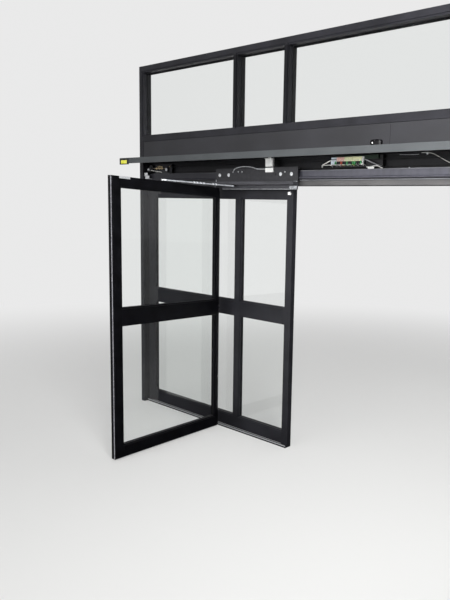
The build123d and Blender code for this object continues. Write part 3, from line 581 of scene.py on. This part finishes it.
# Black lugs that hold the tension bolt, a block at the jamb, and a round boss with its cap
tension = {"boltZ": 2331, "boltY": -4, "boltX": (140, 304), "boltR": 5,
           "lugX": ((152, 162), (290, 300)), "lugY": (-12, 10.2), "lugUp": 12,
           "nutX": (177, 225, 262), "nutR": 9.5, "nutW": 12}
jambBlock = {"x": (36, 70), "y": (-7, 44), "z": (2300, 2344)}
boss = {"x": 84, "z": 2338, "backY": 40, "radius": 30, "length": 44, "frontY": -4, "capR": 12, "capT": 6}
bm = bmesh.new()
for lugX in tension["lugX"]:
    addBlock(bm, lugX, tension["lugY"],
             (tension["boltZ"] - tension["lugUp"], tension["boltZ"] + tension["lugUp"]), roundMm=1.5)
addBlock(bm, jambBlock["x"], jambBlock["y"], jambBlock["z"], roundMm=2.0)
addPin(bm, (boss["x"], boss["backY"], boss["z"]), toFront, boss["radius"], boss["length"],
       sides=32, domeMm=3.0)
addPin(bm, (boss["x"], boss["frontY"], boss["z"]), toFront, boss["capR"], boss["capT"],
       sides=24, domeMm=2.0)
finishPair(bm, "idler_left_lugs", "frame", absBlack)

# Tension bolt with its nuts, and the clamp screws: a hexagonal head with a stud's end on it
clamps = {"places": ((190, 2347), (218, 2349), (246, 2347), (374, 2350)), "headY": 10.1,
          "headR": 7.5, "headT": 9, "studY": 1.4, "studR": 3.6, "studT": 5}
bm = bmesh.new()
boltLow, boltHigh = tension["boltX"]
addPin(bm, (boltLow, tension["boltY"], tension["boltZ"]), toRight, tension["boltR"],
       boltHigh - boltLow, sides=16)
for x in tension["nutX"]:
    addPin(bm, (x - tension["nutW"] / 2, tension["boltY"], tension["boltZ"]), toRight,
           tension["nutR"], tension["nutW"], sides=6, domeMm=0.8)
for x, z in clamps["places"]:
    addPin(bm, (x, clamps["headY"], z), toFront, clamps["headR"], clamps["headT"],
           sides=6, domeMm=0.8)
    addPin(bm, (x, clamps["studY"], z), toFront, clamps["studR"], clamps["studT"],
           sides=14, domeMm=0.8)
finishPair(bm, "idler_left_clamp_screws", "frame", dullBrass)
addLead("lead_idler", [(60, 38, 2324), (80, 4, 2318), (100, -14, 2314), (160, -16, 2308),
                       (216, -14, 2301), (232, -2, 2299), (238, 10, 2298)], radiusMm=3.6, colour="white")

# Zinc angle at the jamb: two legs and a shelf back to the header, with two bolts
angle = {"legY": (-46, -42), "lowX": (56, 118), "lowZ": (2231, 2262), "highX": (44, 92),
         "highZ": (2256, 2288), "shelfX": (44, 118), "shelfY": (-43, -15.2), "shelfZ": (2231, 2235),
         "bolts": ((104, 2246), (66, 2272)), "boltR": 6, "boltT": 4}
bm = bmesh.new()
addBlock(bm, angle["lowX"], angle["legY"], angle["lowZ"], roundMm=1.2)
addBlock(bm, angle["highX"], angle["legY"], angle["highZ"], roundMm=1.2)
addBlock(bm, angle["shelfX"], angle["shelfY"], angle["shelfZ"], roundMm=1.0)
for x, z in angle["bolts"]:
    addPin(bm, (x, angle["legY"][0], z), toFront, angle["boltR"], angle["boltT"],
           sides=6, domeMm=0.8)
finishPair(bm, "header_left_angle", "frame", zincPlated)
print("idler fittings made")


# Joint between track and sill: a dark strip as painted shadow in the joint, a pale strip as painted
# highlight on the sill's nose below it, and another along the track's top edge
seam = {"x": (40, 5780), "shadowStripY": (-19.4, -17.6), "shadowStripZ": (2208.5, 2214.5),
        "noseY": (-18.8, -17.8), "noseZ": (2202, 2207.5), "trackX": (150, 5670),
        "trackY": (-15.9, -14.7), "trackZ": (2274.5, 2279.5)}
bm = bmesh.new()
addBlock(bm, seam["x"], seam["shadowStripY"], seam["shadowStripZ"], roundMm=0.6, segments=3)
finishPiece(bm, "sill_shadow_strip", "frame", blackRubber)
bm = bmesh.new()
addBlock(bm, seam["x"], seam["noseY"], seam["noseZ"], roundMm=0.4)
addBlock(bm, seam["trackX"], seam["trackY"], seam["trackZ"], roundMm=0.5)
finishPiece(bm, "track_edge_highlights", "frame", edgeHighlight)

# Cover: moulded end latches on the lip, each with a plain yellow tab
latch = {"x": (31, 172), "y": (-286.5, -278.5), "z": (2336, 2392),
         "tabX": (56, 150), "tabY": (-288.1, -285.5), "tabZ": (2343, 2374)}
bm = bmesh.new()
addBlock(bm, latch["x"], latch["y"], latch["z"], roundMm=2.0, segments=3)
finishPair(bm, "cover_latch_left", "cover", absBlack)
bm = bmesh.new()
addBlock(bm, latch["tabX"], latch["tabY"], latch["tabZ"], roundMm=1.2, segments=3)
finishPair(bm, "cover_latch_tab_left", "cover", yellowPolyamide)

# Painted glint on the sensor's dome: a pale dot where the dome catches the light, facing out and a little
# up
lens = {"place": (2895.5, -223.5, 2418), "aim": (-0.17, -0.98, 0.1), "radius": 5, "out": 4.5}
bm = bmesh.new()
addPin(bm, lens["place"], lens["aim"], lens["radius"], lens["out"], sides=24, domeMm=1.6)
finishPiece(bm, "sensor_glint", "cover", whiteNylon)
print("cover fittings made")


# Glazing gaskets: a neoprene line round each pane, on both faces. The leaf's are drawn square
# to the frame and then turned to where the leaf rests, short of square.
gasket = {"wide": 2.5, "proud": 2.0, "fromMiddle": 3.1}
transom = {"x": ((26, 1302), (1354, 1885), (1937, 3883), (3935, 4466), (4518, 5794)),
           "z": ((2642, 3222),), "y": 0}
sidelite = {"x": ((134, 1291), (1375, 1903)), "z": ((134, 1038), (1181, 2057)), "y": 26}
leaf = {"x": 1124, "y": (-942, -84), "z": ((113, 1035), (1177, 2062))}
pivot = Vector(joints["breakout_left"]["pos_m"])
shortOfSquare = radians(90 - joints["breakout_left"]["range_deg"][1])
leafTurn = (Matrix.Translation(pivot) @ Matrix.Rotation(shortOfSquare, 4, "Z")
            @ Matrix.Translation(-pivot))


def addGasket(bm, corners, outward):
    # a rectangular ring just inside the corners, raised along outward
    pane = bm.faces.new([bm.verts.new(Vector(c) * mm) for c in corners])
    pane.normal_update()
    ring = bmesh.ops.inset_region(bm, faces=[pane], thickness=gasket["wide"] * mm,
                                  use_boundary=True, use_even_offset=True)["faces"]
    bmesh.ops.delete(bm, geom=[pane], context="FACES_ONLY")
    raised = bmesh.ops.extrude_face_region(bm, geom=ring)["geom"]
    bmesh.ops.translate(bm, vec=Vector(outward) * gasket["proud"] * mm,
                        verts=[v for v in raised if isinstance(v, bmesh.types.BMVert)])


def addFrameGaskets(bm, panes):
    # rings for panes that stand in the frame's plane
    for x0, x1 in panes["x"]:
        for z0, z1 in panes["z"]:
            for side in (-1, 1):
                y = panes["y"] + side * gasket["fromMiddle"]
                addGasket(bm, [(x0, y, z0), (x1, y, z0), (x1, y, z1), (x0, y, z1)], (0, side, 0))


bm = bmesh.new()
addFrameGaskets(bm, transom)
finishPiece(bm, "gaskets_transom", "frame", blackRubber)
bm = bmesh.new()
addFrameGaskets(bm, sidelite)
finishPair(bm, "gaskets_sidelite_left", "frame", blackRubber)
bm = bmesh.new()
y0, y1 = leaf["y"]
for z0, z1 in leaf["z"]:
    for side in (-1, 1):
        x = leaf["x"] + side * gasket["fromMiddle"]
        addGasket(bm, [(x, y0, z0), (x, y1, z0), (x, y1, z1), (x, y0, z1)], (side, 0, 0))
bmesh.ops.transform(bm, matrix=leafTurn, verts=bm.verts)
finishPair(bm, "gaskets_leaf_left", "leaf_left", blackRubber)
print("gaskets made")


# Leaf edges, drawn square and then turned: a pile strip down the lead end, its back sunk in
pile = {"x": (1134, 1144), "y": (-1017, -1015.5), "z": (16, 2140)}
bm = bmesh.new()
addBlock(bm, pile["x"], pile["y"], pile["z"], roundMm=0.7, segments=3)
bmesh.ops.transform(bm, matrix=leafTurn, verts=bm.verts)
finishPair(bm, "leaf_left_pile", "leaf_left", greyPile)

# A half-round guard down the hinge end, cut from a full round
guard = {"x": 1124, "y": -44, "z": (22, 2118), "radius": 20, "sunk": 0.4}
guardLow, guardHigh = guard["z"]
bm = bmesh.new()
addPin(bm, (guard["x"], guard["y"], guardLow), upward, guard["radius"], guardHigh - guardLow, sides=40)
cut = bmesh.ops.bisect_plane(bm, geom=bm.verts[:] + bm.edges[:] + bm.faces[:],
                             plane_co=(0, (guard["y"] - guard["sunk"]) * mm, 0), plane_no=toFront,
                             clear_outer=True)
bmesh.ops.holes_fill(bm, edges=[e for e in cut["geom_cut"] if isinstance(e, bmesh.types.BMEdge)],
                     sides=0)
bmesh.ops.transform(bm, matrix=leafTurn, verts=bm.verts)
finishPair(bm, "leaf_left_guard", "leaf_left", satinVinyl)

# The strike's folded lip near the top of the lead stile, with two screws
strikeLip = {"x": (1145.8, 1146.9), "y": (-957, -871), "z": (2128, 2145), "screwY": (-943, -885),
             "screwZ": 2136, "screwR": 4.0, "screwOut": 0.8}
bm = bmesh.new()
addBlock(bm, strikeLip["x"], strikeLip["y"], strikeLip["z"], roundMm=0.3)
for y in strikeLip["screwY"]:
    addPin(bm, (strikeLip["x"][1], y, strikeLip["screwZ"]), toRight, strikeLip["screwR"],
           strikeLip["screwOut"], sides=16, domeMm=0.3)
bmesh.ops.transform(bm, matrix=leafTurn, verts=bm.verts)
finishPair(bm, "leaf_left_strike_lip", "leaf_left", zincPlated)

# Arm: a bright end shoe and the clamp's screws, drawn along X from the arm's pin and then turned.
# Screws stand at shares of the arm's length.
arm = {"reach": 506, "shoePast": (-22, 13.6), "shoeY": (-11.6, 11.6), "shoeZ": (2150.4, 2161.6),
       "screwShare": (0.435, 0.48, 0.53, 0.575, 0.256, 0.304), "topZ": 2161, "topR": 5.5, "topOut": 3.4,
       "sideZ": 2155, "sideY": 10.6, "sideR": 4.0, "sideOut": 1.6}
armPin = Vector((*joints["stop_arm_left"]["pos_m"][:2], 0))
armEnd = Vector((pivot.x + arm["reach"] * mm * sin(shortOfSquare),
                 pivot.y - arm["reach"] * mm * cos(shortOfSquare), 0))
along = armEnd - armPin
armLength = along.length / mm
armTurn = Matrix.Translation(armPin) @ along.to_track_quat("X", "Z").to_matrix().to_4x4()
bm = bmesh.new()
addBlock(bm, [armLength + past for past in arm["shoePast"]], arm["shoeY"], arm["shoeZ"],
         roundMm=1.6, segments=3)
for share in arm["screwShare"]:
    x = armLength * share
    addPin(bm, (x, 0, arm["topZ"]), upward, arm["topR"], arm["topOut"], sides=6, domeMm=0.6)
    addPin(bm, (x, -arm["sideY"], arm["sideZ"]), toFront, arm["sideR"], arm["sideOut"],
           sides=16, domeMm=0.6)
    addPin(bm, (x, arm["sideY"], arm["sideZ"]), toBack, arm["sideR"], arm["sideOut"],
           sides=16, domeMm=0.6)
bmesh.ops.transform(bm, matrix=armTurn, verts=bm.verts)
finishPair(bm, "arm_left_fittings", "arm_left", zincPlated)

# Floor guide: a bright strip along the front wall's upper edge
guideEdge = {"x": (26, 1972), "y": (-14.6, -11.2), "z": (12.5, 18.4)}
bm = bmesh.new()
addBlock(bm, guideEdge["x"], guideEdge["y"], guideEdge["z"], roundMm=0.5)
finishPair(bm, "guide_left_edge", "frame", zincPlated)
print("leaf, arm and guide trim made")


# Studio: a pale floor that fades into a pale backdrop. The camera sees skyGrey, while the
# entrance is lit by worldLight and by a floor that bounces as little as bounceGrey.
studio = {"floorSize": 80.0, "floorGrey": "#e2e2e0", "floorRough": 0.9, "floorDrop": 0.001,
          "bounceGrey": "#58585a", "glowShare": 0.4, "skyGrey": 0.82, "worldLight": 0.33,
          "middle": (2.4, -0.4, 0), "fadeNear": 3.0, "fadeFar": 10.0}
lamps = {
    "key lamp": {"place": (4.6, -2.2, 3.3), "aim": (3.0, 0, 2.4), "size": (1.2, 1.2), "power": 165,
                 "spreadDeg": 180},
    "front lamp": {"place": (1.4, -9.0, 2.2), "aim": (1.8, 0, 1.9), "size": (12, 4.2), "power": 600,
                   "spreadDeg": 180},
    "low lamp": {"place": (2.9, -3.2, 0.5), "aim": (2.5, 0, 2.3), "size": (1.8, 0.9), "power": 7.5,
                 "spreadDeg": 70},
    "back lamp": {"place": (3.0, 5.5, 4.5), "aim": (3.0, 0, 1.5), "size": (5, 3), "power": 60,
                  "spreadDeg": 180},
}
white = (1, 1, 1, 1)


def paleForCamera(tree):
    # 1 where the camera sees the surface, straight or through glass
    path = addNode(tree, "ShaderNodeLightPath")
    return addNode(tree, "ShaderNodeMath", {"operation": "MAXIMUM"},
                   {0: (path, "Is Camera Ray"), 1: (path, "Is Transmission Ray")})


world = bpy.data.worlds.new("studio")
bpy.context.scene.world = world
world.use_nodes = True
worldTree = world.node_tree
worldTree.nodes.clear()
lightSide = addNode(worldTree, "ShaderNodeBackground", {"Color": white, "Strength": studio["worldLight"]})
seenSide = addNode(worldTree, "ShaderNodeBackground", {"Color": white, "Strength": studio["skyGrey"]})
worldPick = addNode(worldTree, "ShaderNodeMixShader", None,
                    {0: (paleForCamera(worldTree), "Value"), 1: (lightSide, 0), 2: (seenSide, 0)})
addNode(worldTree, "ShaderNodeOutputWorld", None, {"Surface": (worldPick, 0)})

bm = bmesh.new()
bmesh.ops.create_grid(bm, x_segments=1, y_segments=1, size=studio["floorSize"] / 2)
bmesh.ops.translate(bm, vec=(centreX, 0, -studio["floorDrop"]), verts=bm.verts)
floorMesh = bpy.data.meshes.new("floor")
bm.to_mesh(floorMesh)
bm.free()
floor = bpy.data.objects.new("floor", floorMesh)
bpy.context.scene.collection.objects.link(floor)

# Floor paint near the entrance, where it takes the shadow, and plain glow far off
floorPaint, floorTree, floorShader = startMaterial("pale studio floor")
floorShader.inputs["Base Color"].default_value = linear(studio["floorGrey"])
floorShader.inputs["Roughness"].default_value = studio["floorRough"]
floorCoord = addNode(floorTree, "ShaderNodeTexCoord")
fromMiddle = addNode(floorTree, "ShaderNodeVectorMath", {"operation": "DISTANCE", 1: studio["middle"]},
                     {0: (floorCoord, "Object")})
fade = addNode(floorTree, "ShaderNodeMapRange",
               {"interpolation_type": "SMOOTHSTEP", "From Min": studio["fadeNear"],
                "From Max": studio["fadeFar"], "To Min": studio["glowShare"]},
               {"Value": (fromMiddle, "Value")})
glowStrength = addNode(floorTree, "ShaderNodeMapRange",
                       {"To Min": studio["worldLight"], "To Max": studio["skyGrey"]},
                       {"Value": (paleForCamera(floorTree), "Value")})
glow = addNode(floorTree, "ShaderNodeEmission", {"Color": white}, {"Strength": (glowStrength, "Result")})
seenFloor = addNode(floorTree, "ShaderNodeMixShader", None,
                    {0: (fade, "Result"), 1: (floorShader, 0), 2: (glow, 0)})
darkBounce = addNode(floorTree, "ShaderNodeBsdfDiffuse", {"Color": linear(studio["bounceGrey"])})
bySight = addNode(floorTree, "ShaderNodeMixShader", None,
                  {0: (paleForCamera(floorTree), "Value"), 1: (darkBounce, 0), 2: (seenFloor, 0)})
floorTree.links.new(bySight.outputs[0], floorTree.nodes["Material Output"].inputs["Surface"])
floorMesh.materials.append(floorPaint)

# Lamps: soft areas, not seen by the camera or through the glass
for name, lamp in lamps.items():
    light = bpy.data.lights.new(name, "AREA")
    light.shape = "RECTANGLE"
    light.size, light.size_y = lamp["size"]
    light.energy = lamp["power"]
    light.spread = radians(lamp["spreadDeg"])
    lampObj = bpy.data.objects.new(name, light)
    lampObj.location = lamp["place"]
    lampAim = Vector(lamp["aim"]) - Vector(lamp["place"])
    lampObj.rotation_euler = lampAim.to_track_quat("-Z", "Y").to_euler()
    bpy.context.scene.collection.objects.link(lampObj)
    lampObj.visible_camera = False
    lampObj.visible_transmission = False
print("studio set")


# Camera: solved from the photograph's edges, its axis right of the middle. Angles in radians.
view = {"focalPx": 547.2, "axisX": 400, "frameW": 450, "frameH": 600, "sensorMm": 36,
        "yaw": 0.570, "pitch": 0.123, "roll": -0.051, "place": (5.099, -3.227, 1.842), "farM": 200}
ahead = Vector((-sin(view["yaw"]) * cos(view["pitch"]), cos(view["yaw"]) * cos(view["pitch"]),
                -sin(view["pitch"])))
level = Vector((cos(view["yaw"]), sin(view["yaw"]), 0))
down = ahead.cross(level)
right = cos(view["roll"]) * level + sin(view["roll"]) * down
below = -sin(view["roll"]) * level + cos(view["roll"]) * down
camData = bpy.data.cameras.new("camera")
camData.sensor_fit = "AUTO"
camData.sensor_width = view["sensorMm"]
camData.lens = view["focalPx"] / view["frameH"] * view["sensorMm"]
camData.shift_x = (view["frameW"] / 2 - view["axisX"]) / view["frameH"]
camData.clip_end = view["farM"]
cam = bpy.data.objects.new("camera", camData)
bpy.context.scene.collection.objects.link(cam)
cam.matrix_world = (Matrix.Translation(view["place"])
                    @ Matrix((right, -below, -ahead)).transposed().to_4x4())
bpy.context.scene.camera = cam
bpy.context.scene.view_settings.view_transform = "Standard"
print("camera set")
